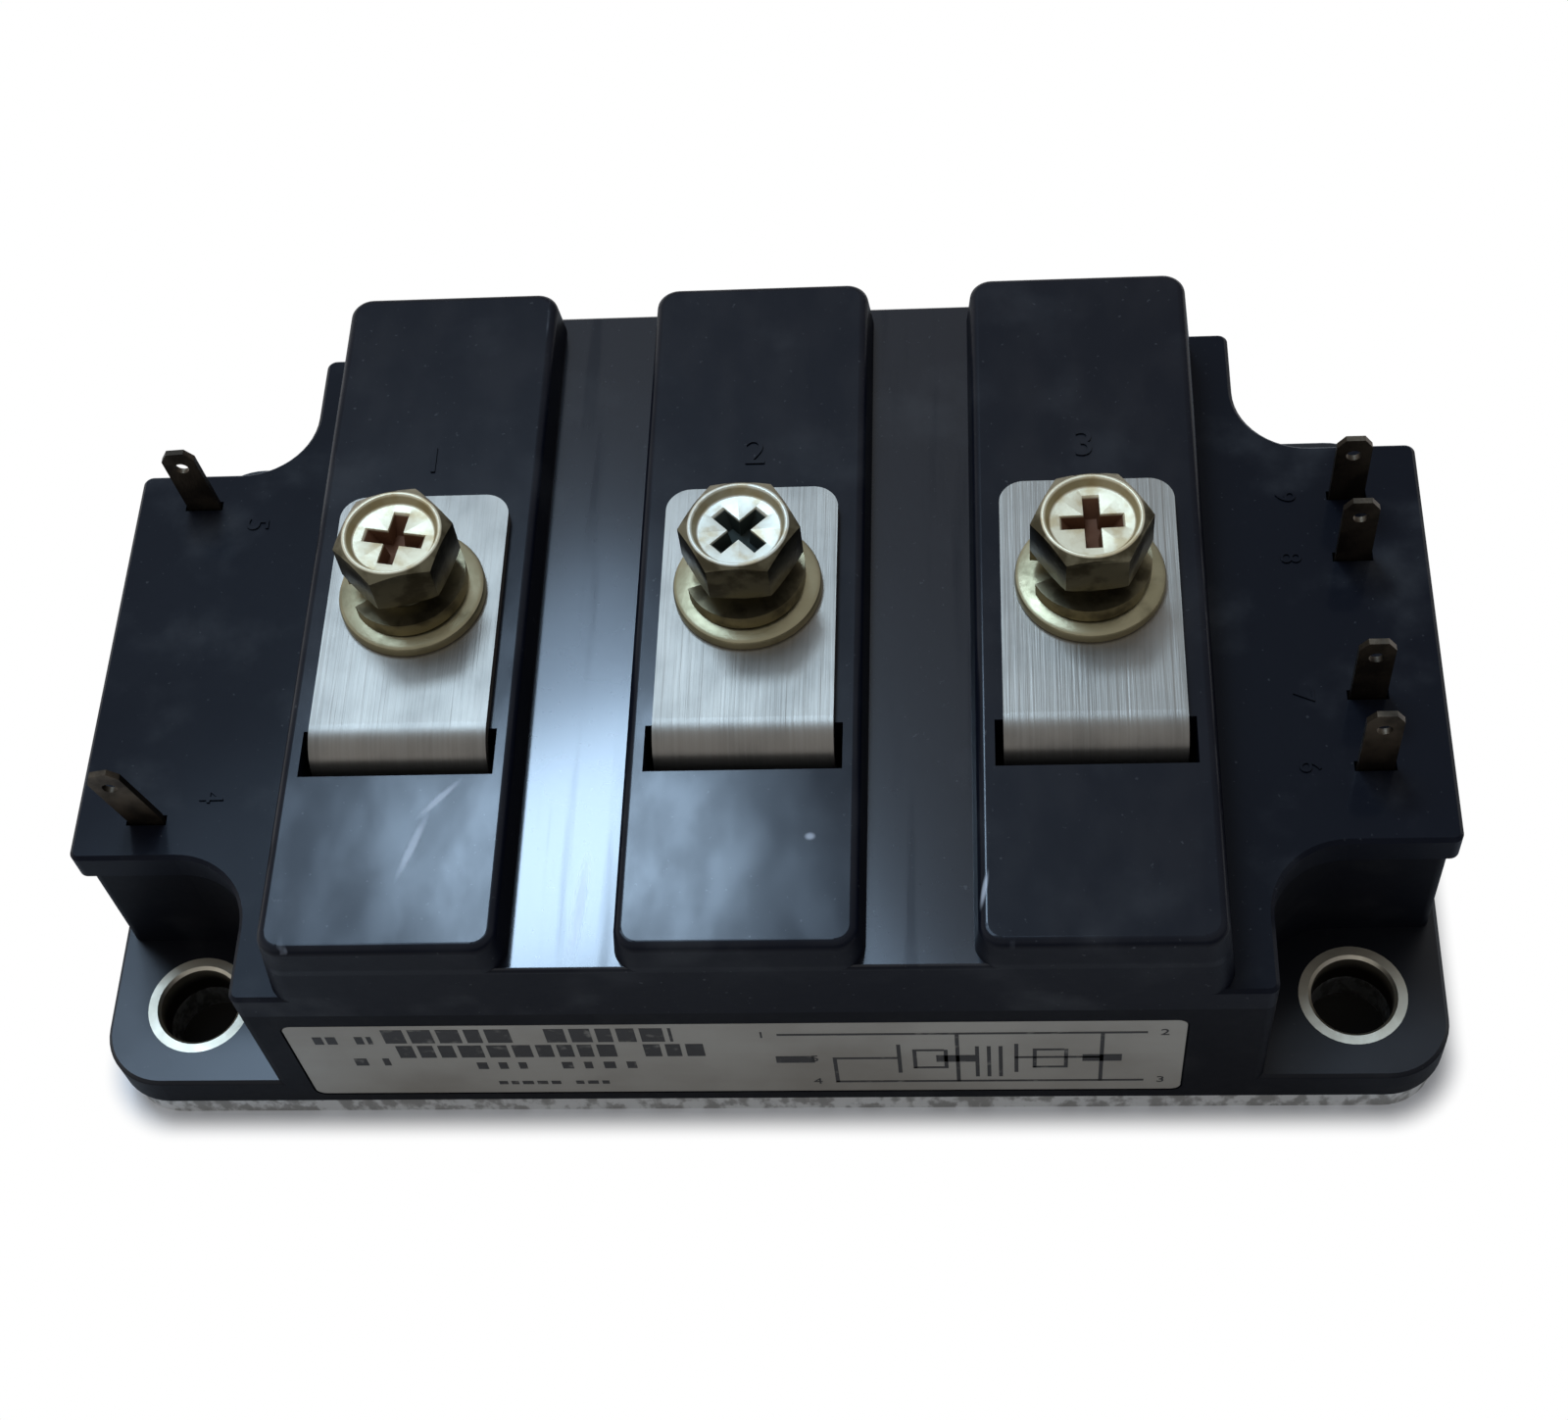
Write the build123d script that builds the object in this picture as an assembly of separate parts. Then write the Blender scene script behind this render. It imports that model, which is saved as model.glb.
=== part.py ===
from build123d import *
import math
import os

os.makedirs("parts", exist_ok=True)

# The module stands on its cooling face, z = 0, with its origin under the middle of the plate.
# +X runs along the row of terminals and -Y is the side that carries the label. Millimetres.

# Outline and mounting holes
case_length = 107.5
case_width = 62.0
corner_radius = 5.0
hole_edge_x = 7.25
hole_edge_y = 7.0
hole_diameter = 6.5
bush_wall = 1.0
bush_chamfer = 0.25

# Levels: the plate, then the moulding's levels above the top of its flange
plate_thickness = 3.0
plate_inset = 0.4
flange_thickness = 3.4
shelf_rise = 15.3
valley_rise = 19.9
block_over_valley = 3.4

# Walls of the case and the four corner notches that clear the mounting screws
wall = 1.8
end_wall_inset = 0.75
notch_room_x = 7.4
notch_room_y = 5.9
notch_radius = 6.0
outer_edge_radius = 0.8
flange_edge_chamfer = 0.3
shelf_edge_chamfer = 0.3

# Lid: skirt, shelves, and three raised blocks with two valleys between them
skirt_height = 2.8
skirt_overhang = 0.6
lid_roof = 2.2
lip_depth = 1.6
lip_thickness = 1.2
lid_fit = 0.15
block_side_wall = 1.35
block_shoulder = 3.2
block_draft = 6.5
block_wall = 1.4
block_corner_radius = 1.8
block_edge_radius = 0.7
valley_edge_radius = 0.3

# Main terminals: bent copper strips that fold back over captive nuts
strip_width = 13.6
strip_thickness = 1.0
strip_bend_radius = 2.5
strip_front_distance = 15.7
strip_length = 24.3
strip_corner_radius = 2.0
strip_hole_play = 0.7
leg_neck_rise = 1.8
leg_width = 5.0
foot_length = 6.0
foot_bend_radius = 1.0
slot_side_clearance = 0.65
slot_front_clearance = 1.0

# Terminal screws, washers and nuts, M5
screw_distance = 14.7
thread_diameter = 4.9
thread_chamfer = 0.5
screw_length = 12.0
screw_backed_off = 0.9
screw_tip_clearance = 1.0
head_across_flats = 8.0
head_height = 4.0
head_chamfer = 0.45
head_rim = 0.75
dish_depth = 0.55
dish_slope = 0.5
cross_width = 1.15
cross_length = 4.9
cross_depth = 1.9
flat_washer_diameter = 11.5
flat_washer_play = 0.5
flat_washer_thickness = 1.0
spring_washer_play = 0.7
spring_washer_section = 1.8
spring_washer_thickness = 1.3
spring_washer_rise = 1.2
spring_washer_gap = 30.0
nut_across_flats = 8.0
nut_height = 4.0
nut_play = 0.1
nut_clearance = 0.1
nut_well_play = 1.1
nut_boss_wall = 1.5
nut_boss_floor = 1.4

# Signal tabs, 2.8 by 0.5 mm blades, placed from the ends and the notches of the case
tab_width = 2.8
tab_thickness = 0.5
tab_height = 7.5
tab_foot_length = 1.8
tab_tip_width = 1.5
tab_tip_length = 0.9
tab_hole_diameter = 1.2
tab_hole_drop = 1.9
tab_clearance = 0.2
left_tab_end_distance = 5.2
right_tab_end_distance = 5.4
left_tab_edge = 2.8
left_front_lean = 14.0
left_rear_lean = 4.0
right_tab_front_edge = 6.0
right_tab_rear_edge = 4.6
right_tab_front_pitch = 6.4
right_tab_rear_pitch = 6.1

# Label in a shallow recess of the front wall
label_left_margin = 2.9
label_right_margin = 6.4
label_bottom_margin = 1.3
label_top_margin = 2.0
label_corner_radius = 0.8
label_thickness = 0.15
label_recess = 0.2
label_fit = 0.15

# Inside: two ceramic substrates with copper patterns, chips, wires and the two fillings
ceramic_thickness = 0.8
ceramic_gap = 2.0
ceramic_end_clearance = 1.2
ceramic_side_clearance = 0.3
copper_thickness = 0.4
copper_margin = 0.5
emitter_bar_width = 7.0
emitter_strip_depth = 5.0
pattern_gap = 1.5
signal_pad_width = 4.6
signal_pad_overlap = 0.3
chip_thickness = 0.4
transistor_chip_size = 10.5
transistor_chip_distance = 15.2
diode_chip_size = 7.0
diode_chip_gap = 0.2
wire_diameter = 0.5
wire_sides = 6
wire_rise = 2.4
wire_foot = 1.1
wire_landing = 1.4
emitter_wire_count = 5
emitter_wire_pitch = 1.9
link_width = 4.0
link_thickness = 0.8
link_rise = 3.6
link_foot = 3.0
link_bend_radius = 1.0
link_edge = 3.5
resin_clearance = 2.1
resin_thickness = 4.2

# Levels that follow from the sizes above
flange_top = plate_thickness + flange_thickness
shelf_level = flange_top + shelf_rise
valley_level = flange_top + valley_rise
block_level = valley_level + block_over_valley
skirt_bottom = shelf_level - skirt_height
resin_level = skirt_bottom - lip_depth - resin_clearance
gel_level = resin_level - resin_thickness
leg_neck_level = resin_level + leg_neck_rise
strip_top = block_level + strip_thickness
flat_washer_top = strip_top + flat_washer_thickness
spring_washer_top = flat_washer_top + spring_washer_thickness + spring_washer_rise
head_bottom = spring_washer_top + screw_backed_off
nut_well_bottom = spring_washer_top - screw_length - screw_tip_clearance
ceramic_top = plate_thickness + ceramic_thickness
copper_top = ceramic_top + copper_thickness
chip_top = copper_top + chip_thickness
label_bottom = plate_thickness + label_bottom_margin
label_top = skirt_bottom - label_top_margin

# Places and diameters that follow from the sizes above
side_names = {"left": -1, "centre": 0, "right": 1}
half_length = case_length / 2
half_width = case_width / 2
hole_x = half_length - hole_edge_x
hole_y = half_width - hole_edge_y
notch_wall_x = hole_x - notch_room_x
notch_wall_y = hole_y - notch_room_y
case_end_x = half_length - end_wall_inset
lid_end_x = case_end_x + skirt_overhang
lid_notch_y = notch_wall_y + skirt_overhang
draft_per_mm = math.tan(math.radians(block_draft))
block_width = strip_width + 2 * (slot_side_clearance + block_side_wall)
block_foot_width = block_width + 2 * (block_level - shelf_level) * draft_per_mm
block_pitch = notch_wall_x - block_shoulder - block_foot_width / 2
strip_front = strip_front_distance - half_width
strip_rear = strip_front + strip_length
screw_y = strip_front + screw_distance
strip_hole_diameter = thread_diameter + strip_hole_play
flat_washer_bore = thread_diameter + flat_washer_play
spring_washer_bore = thread_diameter + spring_washer_play
nut_bore = thread_diameter + nut_play
nut_well_diameter = thread_diameter + nut_well_play
dish_diameter = head_across_flats - 2 * head_rim
label_left = label_left_margin - notch_wall_x
label_right = notch_wall_x - label_right_margin
ceramic_inner_x = ceramic_gap / 2
ceramic_outer_x = case_end_x - wall - ceramic_end_clearance
ceramic_half_depth = notch_wall_y - wall - ceramic_side_clearance
signal_pad_x = ceramic_outer_x - copper_margin - signal_pad_width
collector_inner_x = ceramic_inner_x + copper_margin + emitter_bar_width + pattern_gap
collector_outer_x = signal_pad_x - pattern_gap
copper_rear = ceramic_half_depth - copper_margin
emitter_strip_y = copper_rear - emitter_strip_depth
collector_rear = emitter_strip_y - pattern_gap
chip_y = (collector_rear - copper_rear) / 2
transistor_chip_x = ceramic_outer_x - transistor_chip_distance
diode_chip_x = collector_inner_x + link_foot + diode_chip_gap + diode_chip_size / 2
link_y = collector_rear - link_edge

# Each signal tab's name, place in plan, outward lean in degrees and the way its foot points:
# 1 towards the rear and -1 towards the front, so that the feet of a pair face each other
left_tab_x = left_tab_end_distance - case_end_x
right_tab_x = case_end_x - right_tab_end_distance
right_front_y = right_tab_front_edge - notch_wall_y
right_rear_y = notch_wall_y - right_tab_rear_edge
signal_tabs = {
    "left_front": (left_tab_x, left_tab_edge - notch_wall_y, left_front_lean, 1),
    "left_rear": (left_tab_x, notch_wall_y - left_tab_edge, left_rear_lean, -1),
    "right_1": (right_tab_x, right_front_y, 0.0, 1),
    "right_2": (right_tab_x, right_front_y + right_tab_front_pitch, 0.0, -1),
    "right_3": (right_tab_x, right_rear_y - right_tab_rear_pitch, 0.0, 1),
    "right_4": (right_tab_x, right_rear_y, 0.0, -1),
}


def slab(outline, bottom, top):
    """Solid of a flat outline between two levels."""
    return extrude(Pos(0, 0, bottom) * outline, top - bottom)


def block(x_from, x_to, y_from, y_to, z_from, z_to):
    """Plain box between three pairs of limits."""
    size = (x_to - x_from, y_to - y_from, z_to - z_from)
    middle = ((x_from + x_to) / 2, (y_from + y_to) / 2, (z_from + z_to) / 2)
    return Pos(*middle) * Box(*size)


def cross_outline(end_x, notch_x, notch_y, front_y, inner_radius, outer_radius):
    """Plan of the body: a rectangle whose four corners are notched, with rounded corners."""
    shape = Rectangle(2 * end_x, 2 * notch_y) + Rectangle(2 * notch_x, 2 * front_y)
    inner = [v for v in shape.vertices() if abs(abs(v.X) - notch_x) < 0.01 and abs(abs(v.Y) - notch_y) < 0.01]
    shape = fillet(inner, inner_radius)
    outer = [
        v for v in shape.vertices()
        if (abs(abs(v.X) - end_x) < 0.01 and abs(abs(v.Y) - notch_y) < 0.01)
        or (abs(abs(v.X) - notch_x) < 0.01 and abs(abs(v.Y) - front_y) < 0.01)
    ]
    return fillet(outer, outer_radius)


def cavity_outline(inset):
    """Plan of the inside of the case, drawn in by a further inset."""
    step = wall + inset
    return cross_outline(
        case_end_x - step, notch_wall_x - step, notch_wall_y - step, half_width - step,
        notch_radius + step, outer_edge_radius,
    )


def hole_centres():
    """Centres of the four mounting holes."""
    return [(sx * hole_x, sy * hole_y) for sx in (-1, 1) for sy in (-1, 1)]


def base_plate():
    """Nickel plated copper plate with the four mounting holes."""
    size = (case_length - 2 * plate_inset, case_width - 2 * plate_inset)
    plate = slab(RectangleRounded(*size, corner_radius - plate_inset), 0, plate_thickness)
    for x, y in hole_centres():
        plate -= Pos(x, y, plate_thickness / 2) * Cylinder(hole_diameter / 2, plate_thickness)
    return plate


def mounting_bush(x, y):
    """Collar in the flange that takes the force of a mounting screw."""
    outer = hole_diameter / 2 + bush_wall
    ring = slab(Circle(outer) - Circle(hole_diameter / 2), plate_thickness, flange_top)
    rim = [e for e in ring.edges().filter_by(GeomType.CIRCLE) if abs(e.radius - hole_diameter / 2) < 0.01]
    top_rim = [e for e in rim if abs(e.center().Z - flange_top) < 0.01]
    ring = chamfer(top_rim, bush_chamfer)
    return Pos(x, y, 0) * ring


def label_outline(margin):
    """Label's outline, seen from the front, grown by a margin."""
    size = (label_right - label_left + 2 * margin, label_top - label_bottom + 2 * margin)
    outline = RectangleRounded(*size, label_corner_radius + margin)
    return Pos((label_left + label_right) / 2, (label_bottom + label_top) / 2) * outline


def case():
    """Moulded frame: flange, walls and corner notches, open at the top and bottom."""
    flange = slab(RectangleRounded(case_length, case_width, corner_radius), plate_thickness, flange_top)
    flange = chamfer(flange.faces().sort_by(Axis.Z)[-1].edges(), flange_edge_chamfer)
    outline = cross_outline(
        case_end_x, notch_wall_x, notch_wall_y, half_width, notch_radius, outer_edge_radius
    )
    body = flange + slab(outline, plate_thickness, skirt_bottom)
    body -= slab(cavity_outline(0), plate_thickness, skirt_bottom)
    for x, y in hole_centres():
        bore = Cylinder(hole_diameter / 2 + bush_wall, flange_thickness)
        body -= Pos(x, y, plate_thickness + flange_thickness / 2) * bore
    face = Plane(origin=(0, -half_width, 0), x_dir=(1, 0, 0), z_dir=(0, -1, 0))
    body -= extrude(face * label_outline(label_fit), -label_recess)
    return body


def label():
    """Metallised label stuck in its recess."""
    floor = Plane(origin=(0, -half_width + label_recess, 0), x_dir=(1, 0, 0), z_dir=(0, -1, 0))
    return extrude(floor * label_outline(0), label_thickness)


def drafted_bar(width_at_top, bottom, top, half_depth):
    """Bar along Y whose two sides lean in towards the top."""
    half_top = width_at_top / 2
    half_bottom = half_top + (top - bottom) * draft_per_mm
    outline = Polygon(
        (-half_bottom, bottom), (half_bottom, bottom), (half_top, top), (-half_top, top), align=None
    )
    return extrude(Plane.XZ * outline, half_depth, both=True)


def raised_block():
    """One block of the lid, with rounded corners and a softly rounded top edge."""
    bar = drafted_bar(block_width, shelf_level - shelf_edge_chamfer, block_level, half_width)
    corners = [e for e in bar.edges() if abs(abs(e.center().Y) - half_width) < 0.01]
    upright = [e for e in corners if abs(e.tangent_at(0.5).Z) > 0.9]
    bar = fillet(upright, block_corner_radius)
    return fillet(bar.faces().sort_by(Axis.Z)[-1].edges(), block_edge_radius)


def nut_boss():
    """Boss under a block's roof that holds the nut and the well for the screw's tip."""
    half = nut_across_flats / 2 + nut_clearance + nut_boss_wall
    bottom = nut_well_bottom - nut_boss_floor
    return block(-half, half, screw_y - half, screw_y + half, bottom, block_level - lid_roof / 2)


def nut_pocket():
    """Hexagonal pocket for the nut and the round well below it."""
    hexagon = RegularPolygon(nut_across_flats / 2 + nut_clearance, 6, major_radius=False)
    pocket = slab(hexagon, block_level - nut_height, block_level)
    well = slab(Circle(nut_well_diameter / 2), nut_well_bottom, block_level)
    return Pos(0, screw_y, 0) * (pocket + well)


def terminal_slot():
    """Opening in a block's roof for the terminal, from its bend forwards."""
    half = strip_width / 2 + slot_side_clearance
    rear = strip_front + strip_bend_radius + strip_thickness / 2
    bottom = block_level - 2 * lid_roof
    return block(-half, half, strip_front - slot_front_clearance, rear, bottom, block_level)


def lid():
    """Moulded cover: shelves with a skirt, three blocks, two valleys, slots and nut pockets."""
    outline = cross_outline(
        lid_end_x, notch_wall_x, lid_notch_y, half_width, notch_radius, outer_edge_radius
    )
    cover = slab(outline, skirt_bottom, shelf_level)
    cover = chamfer(cover.faces().sort_by(Axis.Z)[-1].edges(), shelf_edge_chamfer)
    centres = [s * block_pitch for s in side_names.values()]
    foot_level = shelf_level - shelf_edge_chamfer
    middle = block(-block_pitch, block_pitch, -half_width, half_width, foot_level, valley_level)
    cover += fillet(middle.edges().filter_by(Axis.X).group_by(Axis.Z)[-1], valley_edge_radius)
    for x in centres:
        cover += Pos(x, 0, 0) * raised_block()
    cover -= slab(cavity_outline(0), skirt_bottom, shelf_level - lid_roof)
    room_x = block_pitch + block_width / 2 - block_wall
    room_y = half_width - wall
    cover -= block(-room_x, room_x, -room_y, room_y, skirt_bottom, valley_level - lid_roof)
    for x in centres:
        room = drafted_bar(block_width - 2 * block_wall, skirt_bottom, block_level - lid_roof, room_y)
        limit = block(-room_x - x, room_x - x, -room_y, room_y, skirt_bottom, block_level)
        cover -= Pos(x, 0, 0) * (room & limit)
    lip = cavity_outline(lid_fit) - cavity_outline(lid_fit + lip_thickness)
    cover += slab(lip, skirt_bottom - lip_depth, shelf_level - lid_roof)
    for x in centres:
        cover += Pos(x, 0, 0) * nut_boss()
        cover -= Pos(x, 0, 0) * nut_pocket()
        cover -= Pos(x, 0, 0) * terminal_slot()
    for x, y, foot_way in tab_roots():
        half_x = tab_width / 2 + tab_clearance
        half_y = tab_thickness / 2 + tab_clearance
        bottom = skirt_bottom - lip_depth
        cover -= block(x - half_x, x + half_x, y - half_y, y + half_y, bottom, shelf_level)
    return cover


def tab_roots():
    """Plan position of every signal tab and the way its foot points along Y."""
    return [(x, y, foot_way) for x, y, lean, foot_way in signal_tabs.values()]


def terminal(side):
    """Main terminal: foot, leg and flat top, bent from one strip and drilled for its screw."""
    middle = strip_front + strip_thickness / 2
    path = FilletPolyline(
        (middle + foot_length, copper_top + strip_thickness / 2),
        (middle, copper_top + strip_thickness / 2),
        (middle, block_level + strip_thickness / 2),
        (strip_rear, block_level + strip_thickness / 2),
        radius=[foot_bend_radius, strip_bend_radius],
    )
    strip = extrude(Plane.YZ * trace(path, strip_thickness), strip_width / 2, both=True)
    rear = [e for e in strip.edges().filter_by(Axis.Z) if abs(e.center().Y - strip_rear) < 0.01]
    strip = fillet(rear, strip_corner_radius)
    bore = Cylinder(strip_hole_diameter / 2, strip_thickness)
    strip -= Pos(0, screw_y, block_level + strip_thickness / 2) * bore
    leg_left, leg_right = leg_limits(side)
    front = strip_front - 1
    back = strip_front + foot_length + 1
    strip -= block(-strip_width, leg_left, front, back, 0, leg_neck_level)
    strip -= block(leg_right, strip_width, front, back, 0, leg_neck_level)
    return Pos(side * block_pitch, 0, 0) * strip


def leg_limits(side):
    """Left and right edges of a terminal's narrow leg, from the middle of its strip."""
    if side == 0:
        right = -(ceramic_inner_x + copper_margin)
        return right - leg_width, right
    return -leg_width / 2, leg_width / 2


def flat_washer(x):
    """Plain washer on the terminal."""
    ring = Circle(flat_washer_diameter / 2) - Circle(flat_washer_bore / 2)
    return Pos(x, screw_y, 0) * slab(ring, strip_top, flat_washer_top)


def spring_washer(x, turn):
    """Split spring washer, one open turn of rectangular wire."""
    radius = (spring_washer_bore + spring_washer_section) / 2
    share = (360 - spring_washer_gap) / 360
    path = Helix(pitch=spring_washer_rise / share, height=spring_washer_rise, radius=radius)
    start = Plane(origin=path @ 0, x_dir=(1, 0, 0), z_dir=path % 0)
    wire = sweep(start * Rectangle(spring_washer_section, spring_washer_thickness), path, is_frenet=True)
    level = flat_washer_top + spring_washer_thickness / 2
    coil = Pos(x, screw_y, level) * Rot(0, 0, turn) * wire
    reach = spring_washer_bore + 2 * spring_washer_section
    band = (x - reach, x + reach, screw_y - reach, screw_y + reach, flat_washer_top, spring_washer_top)
    return coil & block(*band)


def screw(x, head_turn, cross_turn):
    """Hexagon head screw with a dished top and a cross recess."""
    top = head_bottom + head_height
    hexagon = RegularPolygon(head_across_flats / 2, 6, major_radius=False)
    head = Rot(0, 0, head_turn) * slab(hexagon, head_bottom, top)
    reach = head_across_flats / 2 / math.cos(math.pi / 6)
    cone = Cylinder(reach + 0.01, head_height)
    cone = chamfer(cone.faces().sort_by(Axis.Z)[-1].edges(), head_chamfer, head_chamfer * 1.6)
    head = head & (Pos(0, 0, head_bottom + head_height / 2) * cone)
    dish = Cone(dish_diameter / 2 - dish_depth * dish_slope, dish_diameter / 2, dish_depth)
    head -= Pos(0, 0, top - dish_depth / 2) * dish
    arm = Box(cross_length, cross_width, cross_depth)
    cross = arm + Rot(0, 0, 90) * arm
    head -= Pos(0, 0, top - dish_depth - cross_depth / 2) * Rot(0, 0, cross_turn) * cross
    shank = slab(Circle(thread_diameter / 2), head_bottom - screw_length, head_bottom)
    shank = chamfer(shank.faces().sort_by(Axis.Z)[0].edges(), thread_chamfer)
    return Pos(x, screw_y, 0) * (head + shank)


def nut(x):
    """Hexagon nut caught in the block under the terminal."""
    hexagon = RegularPolygon(nut_across_flats / 2, 6, major_radius=False)
    body = slab(hexagon - Circle(nut_bore / 2), block_level - nut_height, block_level)
    return Pos(x, screw_y, 0) * body


def signal_tab(x, y, lean, foot_way):
    """Blade with a pierced, narrowed tip above the shelf and a foot on the substrate below."""
    half = tab_width / 2
    side = -1 if x < 0 else 1
    angle = math.radians(lean)
    bend_level = shelf_level + tab_thickness
    length = tab_height - tab_thickness

    def leaning(across, up):
        """Point of the upper blade, which leans outwards from the bend."""
        return (
            side * (across * math.cos(angle) + up * math.sin(angle)),
            bend_level - across * math.sin(angle) + up * math.cos(angle),
        )

    tip = [
        leaning(half, length - tab_tip_length), leaning(tab_tip_width / 2, length),
        leaning(-tab_tip_width / 2, length), leaning(-half, length - tab_tip_length),
    ]
    kink = half * math.tan(angle / 2)
    outline = Polygon(
        (-side * half, copper_top), (side * half, copper_top), (side * half, bend_level - kink),
        *tip, (-side * half, bend_level + kink), align=None,
    )
    hole_x, hole_z = leaning(0, length - tab_hole_drop)
    outline -= Pos(hole_x, hole_z) * Circle(tab_hole_diameter / 2)
    blade = extrude(Plane.XZ * outline, tab_thickness / 2, both=True)
    reach = sorted((0, foot_way * (tab_foot_length + tab_thickness / 2)))
    foot = block(-half, half, reach[0], reach[1], copper_top, copper_top + tab_thickness)
    return Pos(x, y, 0) * (blade + foot)


def ceramic(side):
    """Alumina substrate of one half of the bridge."""
    x_limits = sorted((side * ceramic_inner_x, side * ceramic_outer_x))
    return block(*x_limits, -ceramic_half_depth, ceramic_half_depth, plate_thickness, ceramic_top)


def copper_pattern(side):
    """Copper areas on one substrate: collector, emitter and one pad for each signal tab."""
    inner = ceramic_inner_x + copper_margin
    levels = (ceramic_top, copper_top)

    def area(x_from, x_to, y_from, y_to):
        """One rectangle of copper, mirrored to the substrate's own side."""
        return block(*sorted((side * x_from, side * x_to)), y_from, y_to, *levels)

    collector = area(collector_inner_x, collector_outer_x, -copper_rear, collector_rear)
    emitter = area(inner, inner + emitter_bar_width, -copper_rear, copper_rear)
    emitter += area(inner, collector_outer_x, emitter_strip_y, copper_rear)
    pads = []
    for x, y, foot_way in tab_roots():
        if x * side > 0:
            far = y + foot_way * (tab_foot_length + signal_pad_overlap + tab_thickness / 2)
            near = y - foot_way * (signal_pad_overlap + tab_thickness / 2)
            limits = sorted((near, far))
            pads.append(area(signal_pad_x, ceramic_outer_x - copper_margin, *limits))
    return Compound(children=[collector, emitter, *pads])


def chip(side, distance, size):
    """Square silicon chip soldered on the collector area."""
    x = side * distance
    half = size / 2
    return block(x - half, x + half, chip_y - half, chip_y + half, copper_top, chip_top)


def bond_wire(start, end):
    """Aluminium wire, flat-sided in section, that lies on two surfaces and arches between them."""
    radius = wire_diameter / 2
    first = Vector(start) + Vector(0, 0, radius)
    last = Vector(end) + Vector(0, 0, radius)
    flat = Vector(last.X - first.X, last.Y - first.Y, 0)
    way = flat.normalized()
    top = max(first.Z, last.Z) + wire_rise
    span = flat.length
    points = [
        first,
        first + way * wire_foot,
        Vector(first.X, first.Y, top) + way * (span * 0.35),
        Vector(first.X, first.Y, top) + way * (span * 0.65),
        last - way * wire_foot,
        last,
    ]
    path = Polyline(*points)
    section = Plane(origin=path @ 0, x_dir=(0, 0, 1), z_dir=path % 0) * wire_section()
    return sweep(section, path, transition=Transition.RIGHT)


def wire_section():
    """Regular section of a bond wire with a flat side down."""
    return RegularPolygon(wire_diameter / 2, wire_sides, major_radius=False, rotation=180 / wire_sides)


def emitter_wires(side):
    """Parallel wires from the transistor chip to the emitter strip behind it."""
    wires = []
    for i in range(emitter_wire_count):
        x = side * transistor_chip_x + (i - (emitter_wire_count - 1) / 2) * emitter_wire_pitch
        wires.append(bond_wire((x, chip_y, chip_top), (x, emitter_strip_y + wire_landing, copper_top)))
    return wires


def signal_wires(side):
    """One wire from each signal pad to the copper or the chip beside it."""
    wires = []
    for x, y, foot_way in tab_roots():
        if x * side > 0:
            line_y = y + foot_way * tab_foot_length / 2
            pad_x = x - side * (tab_width / 2 + tab_clearance + wire_diameter / 2)
            land_x = side * (collector_outer_x - wire_landing)
            wires.append(bond_wire((pad_x, line_y, copper_top), (land_x, line_y, copper_top)))
    return wires


def bridge_link():
    """Copper bridge from the right emitter bar to the left collector area."""
    right = ceramic_inner_x + copper_margin + emitter_bar_width - pattern_gap
    left = -collector_inner_x - link_foot
    low = copper_top + link_thickness / 2
    high = low + link_rise
    path = FilletPolyline(
        (right, low), (right - link_foot, low), (right - link_foot, high), (left + link_foot, high),
        (left + link_foot, low), (left, low), radius=link_bend_radius,
    )
    strip = extrude(Plane.XZ * trace(path, link_thickness), link_width / 2, both=True)
    return Pos(0, link_y, 0) * strip


def filling(bottom, top, pieces):
    """Filling of the case between two levels, cast round the pieces that reach into it."""
    body = slab(cavity_outline(0), bottom, top)
    for piece in pieces:
        limits = piece.bounding_box()
        if limits.max.Z > bottom and limits.min.Z < top:
            for solid in piece.solids():
                body -= solid
    return body


nodes = {"base_plate": base_plate(), "case": case(), "lid": lid(), "label": label()}

for centre, name in zip(hole_centres(), ("left_front", "left_rear", "right_front", "right_rear")):
    nodes["mounting_bush_" + name] = mounting_bush(*centre)

screw_turns = {"left": (14, -10), "centre": (0, 45), "right": (4, 2)}
for name, side in side_names.items():
    place = side * block_pitch
    head_turn, cross_turn = screw_turns[name]
    nodes["terminal_" + name] = terminal(side)
    nodes["terminal_nut_" + name] = nut(place)
    nodes["flat_washer_" + name] = flat_washer(place)
    nodes["spring_washer_" + name] = spring_washer(place, 200 + head_turn)
    nodes["terminal_screw_" + name] = screw(place, head_turn, cross_turn)

for name, (tab_x, tab_y, lean, foot_way) in signal_tabs.items():
    nodes["signal_tab_" + name] = signal_tab(tab_x, tab_y, lean, foot_way)

nodes["bridge_link"] = bridge_link()
for name in ("left", "right"):
    side = side_names[name]
    nodes["ceramic_substrate_" + name] = ceramic(side)
    nodes["copper_pattern_" + name] = copper_pattern(side)
    nodes["transistor_chip_" + name] = chip(side, transistor_chip_x, transistor_chip_size)
    nodes["diode_chip_" + name] = chip(side, diode_chip_x, diode_chip_size)
    nodes["bond_wires_" + name] = Compound(children=emitter_wires(side) + signal_wires(side))

inner_names = [n for n in nodes if n.startswith(("terminal_", "signal_tab", "bridge", "ceramic", "copper"))]
inner_names += [n for n in nodes if n.startswith(("transistor", "diode", "bond"))]
standing = [n for n in inner_names if not n.startswith(("terminal_nut", "terminal_screw"))]
nodes["silicone_gel"] = filling(plate_thickness, gel_level, [nodes[n] for n in standing])
nodes["resin_seal"] = filling(gel_level, resin_level, [nodes[n] for n in standing])

for name, shape in nodes.items():
    export_step(shape, "parts/" + name + ".step")
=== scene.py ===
import math
import random

import bpy
from mathutils import Matrix, Vector


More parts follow.
